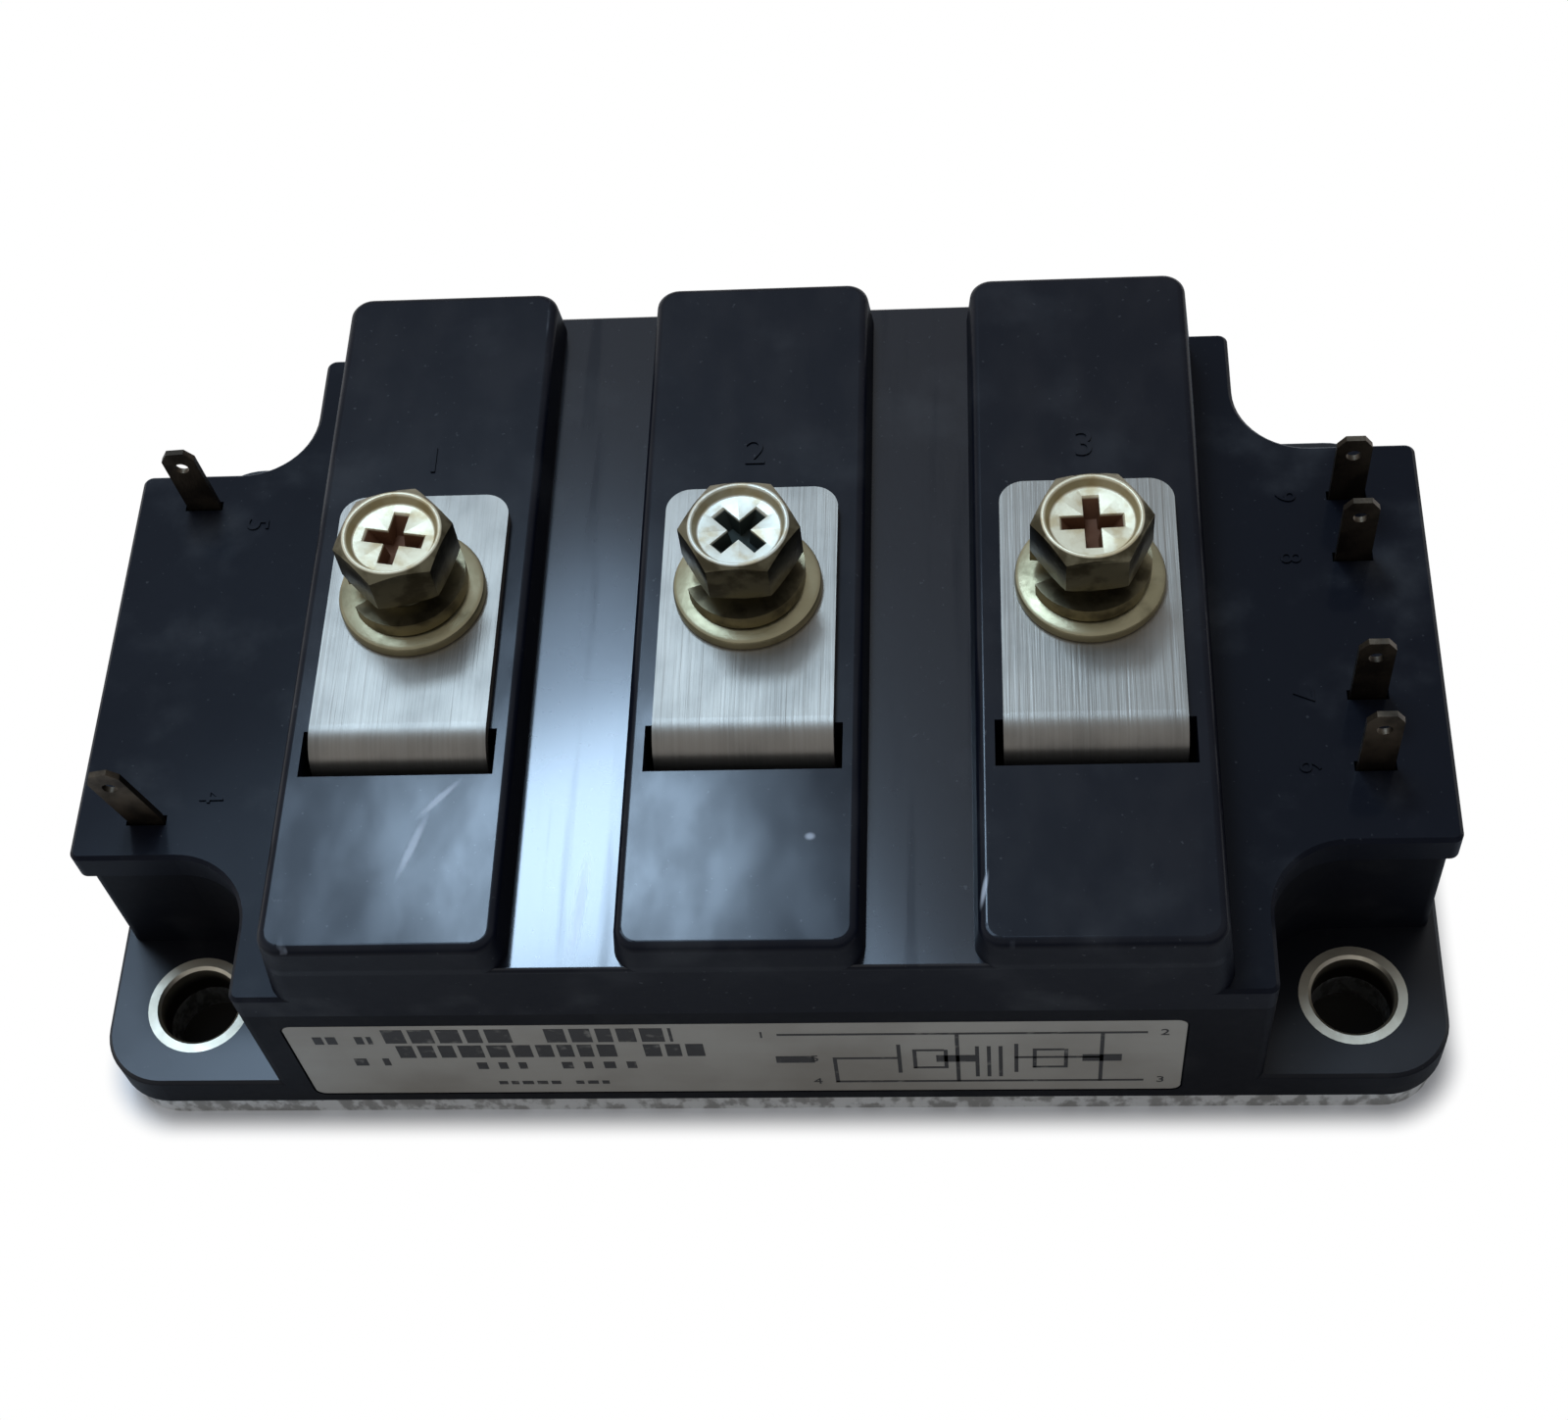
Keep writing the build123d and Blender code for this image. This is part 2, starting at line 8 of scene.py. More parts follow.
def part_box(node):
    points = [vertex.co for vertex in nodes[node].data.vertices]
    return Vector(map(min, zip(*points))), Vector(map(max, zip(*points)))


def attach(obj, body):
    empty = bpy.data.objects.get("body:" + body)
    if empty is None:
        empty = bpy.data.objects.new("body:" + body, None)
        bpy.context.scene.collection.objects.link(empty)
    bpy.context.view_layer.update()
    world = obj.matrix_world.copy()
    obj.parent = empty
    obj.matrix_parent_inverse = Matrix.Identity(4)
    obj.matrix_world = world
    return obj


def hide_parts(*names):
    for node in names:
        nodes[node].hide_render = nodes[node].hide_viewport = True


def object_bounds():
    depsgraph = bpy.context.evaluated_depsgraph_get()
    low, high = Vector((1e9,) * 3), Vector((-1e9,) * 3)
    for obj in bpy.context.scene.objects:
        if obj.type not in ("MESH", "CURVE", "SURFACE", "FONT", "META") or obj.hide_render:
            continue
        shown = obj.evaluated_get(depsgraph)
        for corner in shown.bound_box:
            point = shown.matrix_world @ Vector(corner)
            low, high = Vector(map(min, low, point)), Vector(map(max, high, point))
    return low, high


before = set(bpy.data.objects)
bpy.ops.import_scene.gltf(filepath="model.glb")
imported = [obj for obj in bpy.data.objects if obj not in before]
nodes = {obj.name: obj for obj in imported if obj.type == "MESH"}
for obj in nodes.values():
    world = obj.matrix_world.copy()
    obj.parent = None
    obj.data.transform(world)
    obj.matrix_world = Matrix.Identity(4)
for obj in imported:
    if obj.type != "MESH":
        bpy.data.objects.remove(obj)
cad_low, cad_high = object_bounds()
mm = 0.001
bpy.ops.object.select_all(action="DESELECT")

# Base plate
# A copper plate, nickel plated all over, that carries the heat into the sink.
# Its sheared edge shows as a bright, slightly torn line under the moulding.


class Signal:
    """A value on its way through a material, so that shader maths reads as an expression."""

    def __init__(self, shading, socket):
        self.shading = shading
        self.socket = socket

    def maths(self, operation, first, second):
        return self.shading.node("Math", {"operation": operation}, {0: first, 1: second})

    def __add__(self, other):
        return self.maths("ADD", self, other)

    def __radd__(self, other):
        return self.maths("ADD", other, self)

    def __sub__(self, other):
        return self.maths("SUBTRACT", self, other)

    def __rsub__(self, other):
        return self.maths("SUBTRACT", other, self)

    def __mul__(self, other):
        return self.maths("MULTIPLY", self, other)

    def __rmul__(self, other):
        return self.maths("MULTIPLY", other, self)

    def step(self, low, high):
        """0 below low, 1 above high, and smooth between them."""
        limits = {"Value": self, "From Min": low, "From Max": high}
        return self.shading.node("MapRange", {"interpolation_type": "SMOOTHSTEP"}, limits)


class Shading:
    """The nodes of one material or of the room, and the one way to add to them."""

    def __init__(self, tree):
        self.tree = tree

    def node(self, kind, settings, values, output=0):
        """Adds a node: its settings first, then the values or links of its sockets."""
        made = self.tree.nodes.new("ShaderNode" + kind)
        for name, value in settings.items():
            setattr(made, name, value)
        for name, value in values.items():
            if isinstance(value, Signal):
                self.tree.links.new(value.socket, made.inputs[name])
            else:
                made.inputs[name].default_value = value
        return Signal(self, made.outputs[output])

    def mix(self, factor, first, second):
        """Colour between two colours."""
        colours = [c if isinstance(c, Signal) else (*c, 1.0) for c in (first, second)]
        return self.node("Mix", {"data_type": "RGBA"}, {0: factor, 6: colours[0], 7: colours[1]}, 2)


class Finish(Shading):
    """A surface finish: one material, with its shader and the place on the piece."""

    def __init__(self, name, plain):
        self.material = bpy.data.materials.new(name)
        self.material.use_nodes = True
        super().__init__(self.material.node_tree)
        self.shader = self.tree.nodes["Principled BSDF"]
        for socket, value in plain.items():
            self.shader.inputs[socket].default_value = value
        self.place = self.node("TexCoord", {}, {}, "Object")

    def feed(self, socket, signal):
        self.tree.links.new(signal.socket, self.shader.inputs[socket])

    def axis(self, name):
        return self.node("SeparateXYZ", {}, {"Vector": self.place}, name)

    def upward(self):
        """1 on the faces that look up, and 0 on the walls."""
        normal = self.node("TexCoord", {}, {}, "Normal")
        return self.node("SeparateXYZ", {}, {"Vector": normal}, "Z").step(0.55, 0.85)

    def stretched(self, x, y, z):
        """The place on the piece, with each axis scaled, for grain that runs one way."""
        return self.node("VectorMath", {"operation": "MULTIPLY"}, {0: self.place, 1: (x, y, z)})

    def noise(self, scale, detail=3.0, place=None):
        values = {"Vector": place or self.place, "Scale": scale, "Detail": detail}
        return self.node("TexNoise", {}, values)

    def bump(self, height, depth):
        """Relief of a given depth in metres."""
        self.feed("Normal", self.node("Bump", {}, {"Height": height, "Distance": depth, "Strength": 1.0}))

    def dress(self, *pieces):
        """Puts the finish on pieces or on the CAD nodes of those names."""
        for piece in pieces:
            mesh = (nodes[piece] if isinstance(piece, str) else piece).data
            mesh.materials.clear()
            mesh.materials.append(self.material)


plate_bright = (0.78, 0.78, 0.76)
plate_stained = (0.40, 0.39, 0.37)
plate_relief = 0.12 * mm

nickel = Finish("nickel_plate", {"Metallic": 1.0})
torn = nickel.noise(900, 4, nickel.stretched(1, 1, 0.45))
stain = nickel.noise(900, 5, nickel.stretched(1, 1, 0.6))
nickel.feed("Base Color", nickel.mix(stain.step(0.42, 0.6), plate_bright, plate_stained))
nickel.feed("Roughness", 0.32 + torn * 0.25)
nickel.bump(torn, plate_relief)
nickel.dress("base_plate")

# Case
# The moulded frame of the module, in blue black glass filled polyester.
# It is glued to the base plate, and its four corner notches clear the mounting screws.

case_tone = (0.0032, 0.0037, 0.0062)
case_dust = (0.036, 0.036, 0.035)
moulding_relief = 0.10 * mm
flange_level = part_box("mounting_bush_left_front")[1].z

case_finish = Finish("case_moulding", {"Specular IOR Level": 0.06, "Coat Roughness": 0.28})
grain = case_finish.noise(1500, 3)
ripple = case_finish.noise(55, 2)
rubbed = case_finish.noise(38, 5).step(0.46, 0.70)
specks = case_finish.noise(2600, 2).step(0.70, 0.78)
dust = case_finish.noise(160, 6).step(0.52, 0.80)
height = case_finish.axis("Z")
ledge = height.step(flange_level - 0.5 * mm, flange_level - 0.1 * mm) * (
    1 - height.step(flange_level + 0.1 * mm, flange_level + 0.4 * mm)
)
case_finish.feed("Base Color", case_finish.mix(dust * 0.25 + specks * 0.4, case_tone, case_dust))
case_finish.feed("Roughness", 0.46 + rubbed * 0.10 + grain * 0.08 + specks * 0.2)
case_finish.feed("Coat Weight", ledge * case_finish.upward() * (0.9 - rubbed * 0.3))
case_finish.bump(ripple * 0.75 + grain * 0.06, moulding_relief)
case_finish.dress("case")

# Mounting bushes
# Plated brass collars moulded into the flange, so that the screws don't crush the plastic.
# Only the pale rim shows, with a burnished inner edge, and the bore below it is painted dark as shade.

bush_bright = (0.74, 0.68, 0.54)
bush_dull = (0.52, 0.46, 0.35)
bush_shaded = (0.07, 0.055, 0.04)
bush_corners = ("left_front", "left_rear", "right_front", "right_rear")

bush = Finish("bush_metal", {"Metallic": 1.0})
worn = bush.noise(700, 4)
# The bore turns dark with depth below the flange top: painted shade in the hole.
bore_painted_shade = 1 - bush.axis("Z").step(flange_level - 2.0 * mm, flange_level - 0.3 * mm)
bush.feed("Base Color", bush.mix(bore_painted_shade, bush.mix(worn, bush_bright, bush_dull), bush_shaded))
bush.feed("Roughness", 0.30 + worn * 0.22)
bush.bump(worn, 0.03 * mm)
bush.dress(*["mounting_bush_" + corner for corner in bush_corners])

# Lid
# The moulded cover: two shelves, three raised blocks and two polished valleys between them.
# The mould left the tops glossy, and handling has rubbed and dusted them.

block_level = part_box("lid")[1].z
valley_level = block_level - 3.4 * mm
shelf_level = valley_level - 4.6 * mm
lid_tone = (0.0032, 0.0043, 0.0088)
lid_dust = (0.050, 0.053, 0.058)
lid_scuff = (0.46, 0.49, 0.54)
# Each scuff: its middle, its turn in degrees and its half size, in millimetres
scuffs = [
    ((-24.2, -22.4), 72, (3.4, 0.42)),
    ((-22.6, -18.4), 48, (2.6, 0.36)),
    ((5.2, -22.0), 0, (0.5, 0.4)),
    ((17.8, -26.5), 80, (1.8, 0.25)),
    ((-12.0, -26.0), 86, (5.0, 0.6)),
]

lid = Finish("lid_moulding", {"Specular IOR Level": 0.07, "Coat Roughness": 0.12})
height = lid.axis("Z")
top = height.step(block_level - 0.9 * mm, block_level - 0.3 * mm)
valley = height.step(valley_level - 0.6 * mm, valley_level - 0.3 * mm) * (
    1 - height.step(valley_level + 0.1 * mm, valley_level + 0.5 * mm)
)
low = 1 - height.step(shelf_level + 0.2 * mm, shelf_level + 0.8 * mm)
grain = lid.noise(1300, 3)
ripple = lid.noise(48, 2)
patches = lid.noise(42, 5)
mottle = lid.noise(300, 6, lid.stretched(1, 0.5, 1))
streaks = lid.noise(520, 4, lid.stretched(1, 0.06, 1)).step(0.50, 0.72)
specks = lid.noise(2300, 2).step(0.70, 0.78)
dust = lid.noise(130, 6).step(0.50, 0.82)
scratches = lid.noise(700, 2, lid.stretched(1, 0.05, 1)).step(0.66, 0.72) * patches.step(0.52, 0.62) * top


def scuff(middle, turn, half_size):
    """Soft oval rub mark, given in millimetres: 1 in its middle, 0 outside it."""
    values = {
        "Vector": lid.place,
        "Location": (middle[0] * mm, middle[1] * mm, 0),
        "Rotation": (0, 0, math.radians(turn)),
        "Scale": (half_size[0] * mm, half_size[1] * mm, 1),
    }
    placed = lid.node("Mapping", {"vector_type": "TEXTURE"}, values)
    flat = lid.node("VectorMath", {"operation": "MULTIPLY"}, {0: placed, 1: (1, 1, 0)})
    return 1 - lid.node("VectorMath", {"operation": "LENGTH"}, {0: flat}, "Value").step(0.25, 1.0)


rubs = scuff(*scuffs[0])
for one_scuff in scuffs[1:]:
    rubs = rubs + scuff(*one_scuff)
marks = rubs * (0.5 + patches * 0.6) + scratches * 0.45
pale = dust * 0.3 + specks * 0.7 + low * dust * 0.3
lid.feed("Base Color", lid.mix(marks, lid.mix(pale, lid_tone, lid_dust), lid_scuff))
dulled = patches.step(0.45, 0.75)
lid.feed("Roughness", 0.42 - top * 0.06 - valley * 0.12 + dulled * 0.10 + grain * 0.05)
top_polish = 0.30 - dulled * 0.12 + mottle.step(0.36, 0.70) * 0.17
valley_polish = 1.0 - streaks * 0.35
polish = top * top_polish + valley * valley_polish + low * 0.12
lid.feed("Coat Weight", polish * lid.upward() * (1 - marks * 0.5))
lid.bump(ripple * 0.8 + mottle * 0.16 + grain * 0.05, moulding_relief)
lid.dress("lid")

# Moulded numbers
# Plain numbers stand out of the moulding by 0.14 mm beside each connection.
# They are part of the same shot of plastic as the lid.

number_height = 0.14 * mm
# Each number: its place in millimetres, its level, its size and its turn in degrees
number_places = [
    ("1", (-26.2, 13.2), block_level, 3.6, 0),
    ("2", (0.0, 13.2), block_level, 3.6, 0),
    ("3", (26.2, 13.2), block_level, 3.6, 0),
    ("4", (-43.0, -13.2), shelf_level, 2.8, -90),
    ("5", (-43.0, 13.2), shelf_level, 2.8, -90),
    ("6", (42.6, -12.1), shelf_level, 2.4, -90),
    ("7", (42.6, -5.7), shelf_level, 2.4, -90),
    ("8", (42.6, 7.4), shelf_level, 2.4, -90),
    ("9", (42.6, 13.5), shelf_level, 2.4, -90),
]


def lettering(text, size, depth):
    """Mesh of a short plain text, centred on the origin, standing up from z = 0."""
    bpy.ops.object.text_add()
    piece = bpy.context.object
    piece.data.body = text
    piece.data.size = size
    piece.data.extrude = depth / 2
    piece.data.align_x = "CENTER"
    piece.data.align_y = "CENTER"
    piece.data.resolution_u = 4
    bpy.ops.object.convert(target="MESH")
    piece = bpy.context.object
    piece.data.transform(Matrix.Translation((0, 0, depth / 2)))
    return piece


def join(name, pieces):
    """Joins pieces into one, with a name of its own."""
    bpy.ops.object.select_all(action="DESELECT")
    for piece in pieces:
        piece.select_set(True)
    bpy.context.view_layer.objects.active = pieces[0]
    bpy.ops.object.join()
    pieces[0].name = name
    bpy.ops.object.select_all(action="DESELECT")
    return pieces[0]


numbers = []
for text, (x, y), level, size, turn in number_places:
    number = lettering(text, size * mm, number_height)
    turned_to = Matrix.Rotation(math.radians(turn), 4, "Z")
    number.data.transform(Matrix.Translation((x * mm, y * mm, level)) @ turned_to)
    numbers.append(number)
moulded_numbers = join("moulded_numbers", numbers)
lid.dress(moulded_numbers)
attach(moulded_numbers, "root")

# Main terminals
# Strips of nickel plated copper, brushed along their length, bent over the nuts in the blocks.
# The bend shows the sky as a bright band, and the leg that drops behind it is painted darker as shade.

strip_bright = (0.29, 0.262, 0.222)
strip_dull = (0.225, 0.205, 0.175)
strip_streak = (0.37, 0.345, 0.30)
strip_shaded = (0.16, 0.16, 0.16)
strip_relief = 0.035 * mm

strip = Finish("brushed_nickel", {})
brushed = strip.noise(4200, 3, strip.stretched(1, 0.02, 0.02))
broad = strip.noise(1100, 2, strip.stretched(1, 0.03, 0.03))
clouds = strip.noise(260, 5, strip.stretched(1, 0.6, 1))
tint = strip.mix(clouds.step(0.40, 0.72), strip_bright, strip_dull)
streaked = strip.mix(brushed.step(0.35, 0.70) * 0.30, tint, strip_streak)
# The leg below the top of the block is painted darker as shade.
leg_painted_shade = 1 - strip.axis("Z").step(block_level - 2.0 * mm, block_level - 0.2 * mm)
strip.feed("Base Color", strip.mix(leg_painted_shade * 0.7, streaked, strip_shaded))
strip.feed("Metallic", 0.78 + brushed * 0.1)
strip.feed("Roughness", 0.29 + brushed * 0.12 + clouds * 0.08)
strip.bump(brushed * 0.6 + broad * 0.35, strip_relief)
strip.dress("terminal_left", "terminal_centre", "terminal_right")

# Nuts
# Plain steel nuts, caught in the hexagonal pockets under the strips.
# They are almost hidden, and keep their clean plating.

nut_bright = (0.62, 0.60, 0.56)
nut_dull = (0.45, 0.43, 0.39)

steel = Finish("nut_steel", {"Metallic": 1.0})
rolled = steel.noise(1200, 4)
steel.feed("Base Color", steel.mix(rolled, nut_bright, nut_dull))
steel.feed("Roughness", 0.3 + rolled * 0.2)
steel.bump(rolled, 0.02 * mm)
steel.dress("terminal_nut_left", "terminal_nut_centre", "terminal_nut_right")

# Washers
# Punched flat washers under split spring washers, in yellow zinc plated steel.
# The flat ones have one rounded edge from the punch, and the springs are cut at a slant.

zinc_bright = (0.50, 0.44, 0.28)
zinc_dull = (0.34, 0.31, 0.185)
zinc_tarnish = (0.17, 0.15, 0.085)
zinc_relief = 0.012 * mm

zinc = Finish("yellow_zinc_washer", {"Metallic": 1.0})
plating = zinc.noise(420, 5)
fine = zinc.noise(2600, 3)
tarnish = zinc.noise(260, 4).step(0.50, 0.72)
zinc_tint = zinc.mix(plating, zinc_bright, zinc_dull)
zinc.feed("Base Color", zinc.mix(tarnish * 0.7, zinc_tint, zinc_tarnish))
zinc.feed("Roughness", 0.26 + fine * 0.16 + tarnish * 0.14)
zinc.bump(fine, zinc_relief)


def take(piece):
    """Selects one piece alone and makes it the active one."""
    bpy.ops.object.select_all(action="DESELECT")
    piece.select_set(True)
    bpy.context.view_layer.objects.active = piece


def turned(name, profile, steps):
    """Turns a profile of (radius, height) points, given in millimetres, about the Z axis."""
    mesh = bpy.data.meshes.new(name)
    points = [(radius * mm, 0, level * mm) for radius, level in profile]
    mesh.from_pydata(points, [(i, i + 1) for i in range(len(points) - 1)], [])
    piece = bpy.data.objects.new(name, mesh)
    bpy.context.collection.objects.link(piece)
    take(piece)
    bpy.ops.object.mode_set(mode="EDIT")
    bpy.ops.mesh.select_all(action="SELECT")
    bpy.ops.mesh.spin(steps=steps, angle=2 * math.pi, center=(0, 0, 0), axis=(0, 0, 1))
    bpy.ops.mesh.remove_doubles(threshold=0.001 * mm)
    bpy.ops.mesh.normals_make_consistent(inside=False)
    bpy.ops.object.mode_set(mode="OBJECT")
    return piece


def smooth(piece, degrees=35):
    """Smooth shading, with edges sharper than the angle kept."""
    take(piece)
    bpy.ops.object.shade_smooth_by_angle(angle=math.radians(degrees))
    piece.select_set(False)


def stand_for(piece, node):
    """The finished piece takes the place of its CAD node."""
    piece.name = node + "_finished"
    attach(piece, "root")
    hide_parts(node)


washer_bore = 5.4 / 2
washer_rim = 11.5 / 2
round_steps = 96
washer_profile = [
    (washer_bore, 0.12), (washer_bore + 0.1, 0), (washer_rim - 0.12, 0), (washer_rim, 0.14),
    (washer_rim, 0.62), (washer_rim - 0.10, 0.86), (washer_rim - 0.34, 1.0),
    (washer_bore + 0.16, 1.0), (washer_bore, 0.86), (washer_bore, 0.12),
]
for side in ("left", "centre", "right"):
    node = "flat_washer_" + side
    low_corner, high_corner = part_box(node)
    middle = (low_corner + high_corner) / 2
    washer = turned(node, washer_profile, round_steps)
    washer.data.transform(Matrix.Translation((middle.x, middle.y, low_corner.z)))
    smooth(washer)
    zinc.dress(washer)
    stand_for(washer, node)

spring_bright = (0.30, 0.26, 0.16)
spring_dull = (0.12, 0.10, 0.06)

spring_zinc = Finish("spring_washer_zinc", {"Metallic": 1.0})
plating = spring_zinc.noise(500, 5)
spring_zinc.feed("Base Color", spring_zinc.mix(plating.step(0.4, 0.65), spring_bright, spring_dull))
spring_zinc.feed("Roughness", 0.30 + plating * 0.15)
spring_zinc.bump(plating, 0.02 * mm)
spring_zinc.dress("spring_washer_left", "spring_washer_centre", "spring_washer_right")

# Terminal screws
# Hexagon heads pressed with a dish and a cross recess, on an M5 thread, yellow zinc plated.
# The dish floors are polished by the driver; their pale cream is partly plating, partly painted light.

# Pale cream for the dish face: partly the plating's own colour and partly painted light.
cream_centre = (0.84, 0.83, 0.70)
cream_outer = (0.86, 0.78, 0.56)
cream_stain = (0.58, 0.44, 0.22)
# Painted shade on the wall of the dish.
dish_wall_painted_shade = (0.26, 0.20, 0.10)
# Painted shade in the cross recesses, brown in the outer screws and green-black in the centre one.
recess_painted_shade_green = (0.022, 0.030, 0.024)
recess_painted_shade_brown = (0.13, 0.052, 0.022)
# The hexagon flanks are painted dark: painted reflection of the dark plastic round them.
flank_painted_reflection_pale = (0.20, 0.18, 0.115)
flank_painted_reflection_dark = (0.085, 0.072, 0.042)
dish_depth = 0.80
dish_radius = 3.10
rim_radius = 3.76
head_top = cad_high.z
dish_floor = head_top - dish_depth * mm
screw_pitch = sum(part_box("flat_washer_right"), Vector()).x / 2
screw_row = sum(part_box("flat_washer_centre"), Vector()).y / 2

screw_zinc = Finish("yellow_zinc_screw", {})
across = screw_zinc.axis("X")
along = screw_zinc.axis("Y")
height = screw_zinc.axis("Z")
limits = {0: across, 1: screw_pitch / 2, 2: -screw_pitch / 2}
from_screw = screw_zinc.node("Math", {"operation": "WRAP"}, limits)
from_axis = screw_zinc.node("CombineXYZ", {}, {"X": from_screw, "Y": along - screw_row})
radius = screw_zinc.node("VectorMath", {"operation": "LENGTH"}, {0: from_axis}, "Value")
outer = screw_zinc.node("Math", {"operation": "ABSOLUTE"}, {0: across}).step(6 * mm, 8 * mm)
plating = screw_zinc.noise(520, 5)
fine = screw_zinc.noise(3000, 3)
inside_rim = 1 - radius.step(rim_radius * mm, (rim_radius + 0.10) * mm)
face = inside_rim * height.step(head_top - 3 * mm, head_top - 2.8 * mm)
recess = 1 - height.step(dish_floor - 0.30 * mm, dish_floor - 0.06 * mm)
outside_floor = radius.step(dish_radius * mm, (dish_radius + 0.15) * mm)
dish_wall = outside_floor * (1 - height.step(head_top - 0.25 * mm, head_top - 0.06 * mm))
# The face colour is partly the plating's own and partly painted light.
cream = screw_zinc.mix(outer, cream_centre, cream_outer)
stained = screw_zinc.mix(plating.step(0.46, 0.66) * 0.7, cream, cream_stain)
# Painted shade on the wall of the dish.
floor_and_wall = screw_zinc.mix(dish_wall * 0.75, stained, dish_wall_painted_shade)
# Painted shade in the cross recesses, brown in the outer screws and green-black in the centre one.
recess_painted_shade = screw_zinc.mix(outer, recess_painted_shade_green, recess_painted_shade_brown)
# Painted reflection of the dark plastic on the hexagon flanks.
flank_painted_reflection = screw_zinc.mix(plating.step(0.40, 0.62), flank_painted_reflection_pale, flank_painted_reflection_dark)
inside = screw_zinc.mix(recess, floor_and_wall, recess_painted_shade)
screw_zinc.feed("Base Color", screw_zinc.mix(face, flank_painted_reflection, inside))
screw_zinc.feed("Metallic", 1 - face * (1 - dish_wall) * 0.5)
screw_zinc.feed("Roughness", 0.26 + fine * 0.10 + face * 0.14 + recess * face * 0.2)
screw_zinc.bump(fine, zinc_relief)

head_flats = 8.0
head_corner = head_flats / 2 / math.cos(math.pi / 6)
head_height = 4.0
shank_radius = 2.45
thread_depth = 0.42
thread_pitch = 0.8
screw_length = 12.0
head_profile = [
    (0, -dish_depth), (dish_radius, -dish_depth), (3.24, -0.72), (3.50, -0.12), (3.56, -0.02), (3.66, 0.0),
    (rim_radius, -0.03), (3.86, -0.12), (4.10, -0.30), (head_corner + 0.3, -0.72),
    (head_corner + 0.3, -head_height + 0.45), (4.35, -head_height + 0.12), (3.95, -head_height),
    (0, -head_height),
]
thread_root = shank_radius - thread_depth
screw_tip = -head_height - screw_length
shank_profile = [(0, -head_height + 0.3), (thread_root, -head_height + 0.3)]
for turn in range(int(screw_length / thread_pitch)):
    level = -head_height - turn * thread_pitch
    shank_profile += [(thread_root, level - 0.1), (shank_radius, level - 0.4), (shank_radius, level - 0.5)]
shank_profile += [(shank_radius - 0.5, screw_tip), (0, screw_tip)]
cross_length = 5.1
cross_width = 1.3
cross_depth = 1.9
cross_top = -0.55
cross_foot_length = 0.55
cross_foot_width = 0.70
head_edge = 0.07 * mm
shank_steps = 40
# The turn of each head and of its cross, in degrees
screw_turns = {"left": (14, -10), "centre": (0, 45), "right": (4, 2)}


def cut(piece, cutter, operation):
    """Boolean of a piece with a cutter, which is used up."""
    modifier = piece.modifiers.new("cut", "BOOLEAN")
    modifier.operation = operation
    modifier.object = cutter
    modifier.solver = "EXACT"
    take(piece)
    bpy.ops.object.modifier_apply(modifier=modifier.name)
    bpy.data.objects.remove(cutter)


def recess_arm(turn):
    """One arm of the cross recess, narrower and shorter at its foot."""
    bpy.ops.mesh.primitive_cube_add(size=1)
    arm = bpy.context.object
    arm.data.transform(Matrix.Diagonal((cross_length * mm, cross_width * mm, cross_depth * mm, 1)))
    for vertex in arm.data.vertices:
        if vertex.co.z < 0:
            vertex.co.x *= cross_foot_length
            vertex.co.y *= cross_foot_width
    place = Matrix.Translation((0, 0, (cross_top - cross_depth / 2) * mm))
    arm.data.transform(Matrix.Rotation(math.radians(turn), 4, "Z") @ place)
    return arm


def bevel(piece, width, degrees):
    """Softens the edges of a piece that are sharper than the angle."""
    modifier = piece.modifiers.new("edges", "BEVEL")
    modifier.width = width
    modifier.segments = 2
    modifier.limit_method = "ANGLE"
    modifier.angle_limit = math.radians(degrees)
    take(piece)
    bpy.ops.object.modifier_apply(modifier=modifier.name)


for side, (head_turn, cross_turn) in screw_turns.items():
    node = "terminal_screw_" + side
    low_corner, high_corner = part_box(node)
    middle = (low_corner + high_corner) / 2
    bpy.ops.mesh.primitive_cylinder_add(vertices=6, radius=head_corner * mm, depth=2 * head_height * mm)
    hexagon = bpy.context.object
    hexagon.data.transform(Matrix.Rotation(math.radians(head_turn + 30), 4, "Z"))
    head = turned("head", head_profile, round_steps)
    cut(head, hexagon, "INTERSECT")
    cut(head, recess_arm(cross_turn), "DIFFERENCE")
    cut(head, recess_arm(cross_turn + 90), "DIFFERENCE")
    bevel(head, head_edge, 28)
    smooth(head, 30)
    shank = turned("shank", shank_profile, shank_steps)
    smooth(shank, 30)
    screw = join(node, [head, shank])
    screw.data.transform(Matrix.Translation((middle.x, middle.y, high_corner.z)))
    screw_zinc.dress(screw)
    stand_for(screw, node)

# Signal blades
# Stamped brass blades with a pierced, narrowed tip, tinned once and now tarnished dark brown.
# The left front one has been knocked and leans outwards.

blade_bright = (0.115, 0.090, 0.064)
blade_dull = (0.042, 0.034, 0.026)
blade_places = ("left_front", "left_rear", "right_1", "right_2", "right_3", "right_4")

blade = Finish("tarnished_blade", {"Metallic": 1.0})
tarnish = blade.noise(380, 5)
fine = blade.noise(2400, 3, blade.stretched(1, 1, 0.2))
blade.feed("Base Color", blade.mix(tarnish.step(0.38, 0.66), blade_bright, blade_dull))
blade.feed("Roughness", 0.38 + tarnish * 0.2)
blade.bump(fine, 0.02 * mm)
blade.dress(*["signal_tab_" + place for place in blade_places])

# Label
# A metallised foil plate in its recess, printed in black with plain bars, lines and numbers.
# The foil is satin, a little yellowed, and scratched along its length.

foil_clean = (0.34, 0.315, 0.27)
foil_aged = (0.255, 0.23, 0.19)
ink_black = (0.030, 0.028, 0.027)
ink_rubbed = (0.16, 0.15, 0.13)

foil = Finish("label_foil", {"Metallic": 0.35})
rolled = foil.noise(700, 4, foil.stretched(0.08, 1, 1))
aged = foil.noise(90, 4)
foil.feed("Base Color", foil.mix(aged.step(0.35, 0.75), foil_clean, foil_aged))
foil.feed("Roughness", 0.42 + rolled * 0.2)
foil.bump(rolled, 0.01 * mm)
foil.dress("label")

